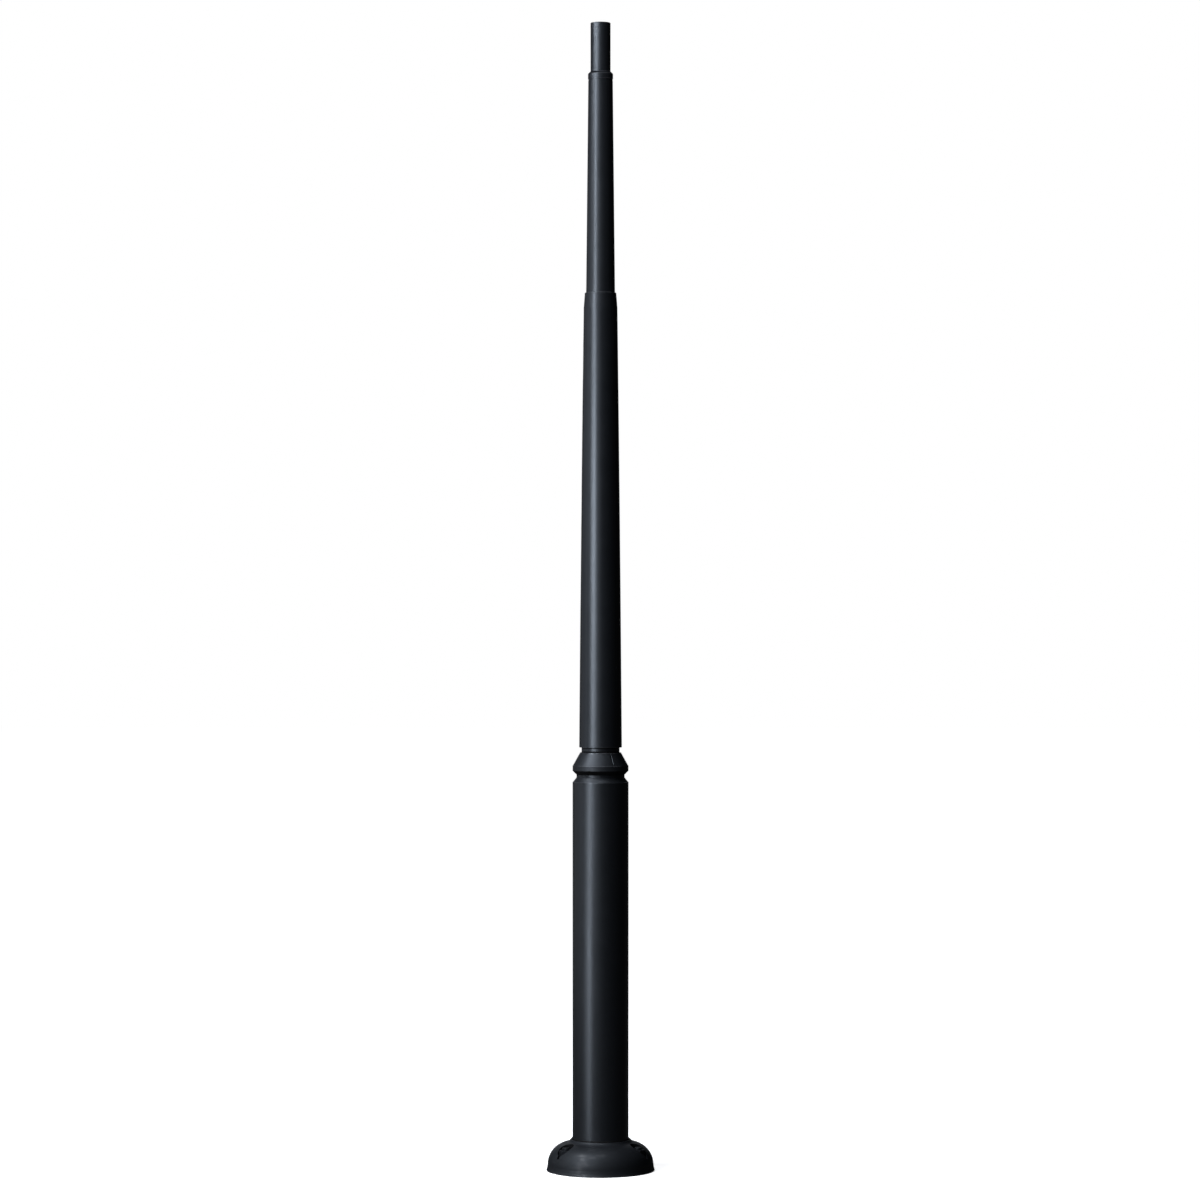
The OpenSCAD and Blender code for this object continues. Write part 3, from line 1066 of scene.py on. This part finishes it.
@dataclass(frozen=True)
class SoftBox:
    """A rectangular lamp that faces a point on the post's axis.

    Attributes:
        name: Name of the lamp.
        bearing: Direction from the post in degrees, 0 at the camera and growing to its right.
        height: Height of its centre.
        watts: Its power.
        reach: Distance from the axis.
        aim: Height of the point it faces; its own height without one.
        width: Its width.
        tall: Its height from edge to edge.
        tint: Colour of its light.
    """

    name: str
    bearing: float
    height: float
    watts: float
    reach: float = 4.5
    aim: float | None = None
    width: float = 0.5
    tall: float = 0.7
    tint: Triple = (0.95, 0.99, 1.06)

    @classmethod
    def strip(cls, name: str, bearing: float, watts: float) -> "SoftBox":
        """A tall strip that lights one side of the post along its length."""
        return cls(name, bearing, height=1.9, watts=watts, width=1.3, tall=3.6)

    @classmethod
    def above(cls, name: str, bearing: float, reach: float, height: float, watts: float,
              side: float = 0.9) -> "SoftBox":
        """A square lamp above the post that faces the shoe."""
        return cls(name, bearing, height, watts, reach, aim=0.1, width=side, tall=side)

    def build(self) -> bpy.types.Object:
        """Makes the lamp and turns it towards its aim.

        Returns:
            The lamp, at (reach sin b, -reach cos b, height) with b for its bearing.
        """
        light = bpy.data.lights.new(self.name, "AREA")
        light.shape = "RECTANGLE"
        light.size, light.size_y, light.energy, light.color = self.width, self.tall, self.watts, self.tint
        made = linked(self.name, light)
        turn = math.radians(self.bearing)
        made.location = (self.reach * math.sin(turn), -self.reach * math.cos(turn), self.height)
        aim = self.height if self.aim is None else self.aim
        way = Vector((0.0, 0.0, aim)) - made.location
        made.rotation_euler = way.to_track_quat("-Z", "Y").to_euler()
        return made


@dataclass
class Studio:
    """Pale floor, surroundings, soft boxes and the camera.

    Attributes:
        boxes: The lamps.
        floor_half: Half of the floor's side.
        floor_tone: Colour of the floor to the camera.
        floor_bounce: Colour of the floor to the post.
        floor_mirrored: Share of the first that the post's reflections show.
        glow: Share of white that the floor adds by the post.
        glow_reach: Distances from the axis over which that share grows to 1.
        surround: Colour of the surroundings to the post.
        backdrop: Share of white in the backdrop behind the post, in reflections.
        backdrop_edge: Parts of a direction along +Y between which the backdrop begins.
        lens: Focal length of the camera in millimetres.
        sensor: Width of its sensor in millimetres.
        clip: Nearest and furthest distance that it sees.
        eye: Where it stands.
    """

    boxes: tuple[SoftBox, ...] = (
        SoftBox("bank_top", -45.0, 3.74, 55.0, tall=0.8),
        SoftBox("bank_high", -38.0, 2.34, 55.0),
        SoftBox("bank_high_side", -54.0, 2.4, 22.0),
        SoftBox("bank_middle", -47.0, 1.6, 27.0),
        SoftBox("bank_low", -38.0, 1.0, 7.0, width=0.4, tall=0.3),
        SoftBox("bank_middle_front", -30.0, 1.6, 15.0),
        SoftBox("bank_foot", -47.0, 0.2, 36.0),
        SoftBox("bank_foot_side", -62.0, 0.2, 9.8),
        SoftBox.above("above_side", -70.0, 2.5, 4.33, 96.0),
        SoftBox.above("above_key", -54.0, 6.14, 6.68, 175.0, side=0.6),
        SoftBox.above("above_front", -30.0, 2.5, 4.33, 34.0),
        SoftBox.above("overhead", 0.0, 1.29, 4.83, 22.0),
        SoftBox.strip("strip_side", -85.0, 12.5),
        SoftBox.strip("strip_far_side", -105.0, 5.9),
        SoftBox.strip("strip_front", -12.0, 9.2),
        SoftBox.strip("strip_right", 15.0, 0.9),
        SoftBox.strip("strip_back", -125.0, 5.1),
        SoftBox.strip("strip_door", -165.0, 6.5),
        SoftBox.strip("strip_far_back", 168.0, 3.0),
    )
    floor_half: float = 40.0
    floor_tone: Triple = (0.80, 0.80, 0.80)
    floor_bounce: Triple = (0.012, 0.012, 0.012)
    floor_mirrored: float = 0.02
    glow: float = 0.80
    glow_reach: Pair = (0.3, 2.2)
    surround: Triple = (0.004, 0.004, 0.00424)
    backdrop: float = 0.12
    backdrop_edge: Pair = (0.90, 0.98)
    lens: float = 116.25
    sensor: float = 36.0
    clip: Pair = (0.05, 200.0)
    eye: Triple = (-0.00165, -11.655, 1.7145)

    def floor(self) -> bpy.types.Object:
        """A pale square floor that shows white to the camera and keeps a soft shadow.

        Returns:
            The floor, marked as no part of the object. Its colour and glow follow the kind of
            ray, and the glow grows with the distance sqrt(x^2+y^2) from the axis.
        """
        h = self.floor_half
        mesh = bpy.data.meshes.new("floor")
        mesh.from_pydata([(-h, -h, 0.0), (h, -h, 0.0), (h, h, 0.0), (-h, h, 0.0)], [], [(0, 1, 2, 3)])
        made = linked("floor", mesh)
        material = bpy.data.materials.new("floor_pale")
        graph = Graph(material)
        seen = graph.ray("Is Camera Ray") + graph.ray("Is Transmission Ray")
        seen = (seen + self.floor_mirrored * graph.ray("Is Glossy Ray")).least(1.0)
        tone = seen.between(self.floor_bounce, self.floor_tone)
        x, y, _ = graph.parts(graph.place())
        white = (seen * x.slant(y).ramp(*self.glow_reach).between(self.glow, 1.0)).between(BLACK, WHITE)
        diffuse = graph.out("ShaderNodeBsdfDiffuse", sockets={"Color": tone})
        glow = graph.out("ShaderNodeEmission", sockets={"Color": white, "Strength": 1.0})
        graph.end("ShaderNodeOutputMaterial", graph.out("ShaderNodeAddShader", sockets={0: diffuse, 1: glow}))
        mesh.materials.append(material)
        return made

    def surroundings(self) -> None:
        """White to the camera and through glass, a pale backdrop in reflections, dim elsewhere."""
        world = bpy.data.worlds.new("surroundings")
        bpy.context.scene.world = world
        graph = Graph(world)
        seen = (graph.ray("Is Camera Ray") + graph.ray("Is Transmission Ray")).least(1.0)
        _, way, _ = graph.parts(graph.out("ShaderNodeTexCoord", output="Generated"))
        behind = graph.ray("Is Glossy Ray") * way.ramp(*self.backdrop_edge)
        colour = (seen + behind * self.backdrop).least(1.0).between(self.surround, WHITE)
        graph.end("ShaderNodeOutputWorld", graph.out("ShaderNodeBackground", sockets={
            "Color": colour, "Strength": 1.0}))

    def camera(self) -> bpy.types.Object:
        """Makes the camera.

        Returns:
            A level camera in front of the post, on the side without the door.
        """
        lens = bpy.data.cameras.new("camera")
        lens.lens, lens.sensor_width, lens.sensor_fit = self.lens, self.sensor, "HORIZONTAL"
        lens.clip_start, lens.clip_end = self.clip
        made = linked("camera", lens)
        made.location = self.eye
        made.rotation_euler = (math.pi / 2, 0.0, 0.0)
        bpy.context.scene.camera = made
        return made

    def build(self) -> list[bpy.types.Object]:
        """Makes the floor, the surroundings, the camera and the lamps.

        Returns:
            The lamps.
        """
        self.floor()
        self.surroundings()
        lamps = [box.build() for box in self.boxes]
        self.camera()
        bpy.context.scene.view_settings.view_transform = "Standard"
        return lamps


def main() -> None:
    """Dresses the frame, adds the fixings, sets the stage and reports each piece."""
    logging.basicConfig(level=logging.INFO, format="%(name)s %(message)s")
    for node, material in Coatings().build().items():
        LOG.info("dressed %s with %s", node, material.name)
    for piece in Anchorage().build():
        LOG.info("made %s with %d faces", piece.name, len(piece.data.polygons))
    for lamp in Studio().build():
        LOG.info("lit %s with %.0f W", lamp.name, lamp.data.energy)


if __name__ == "__main__":
    main()
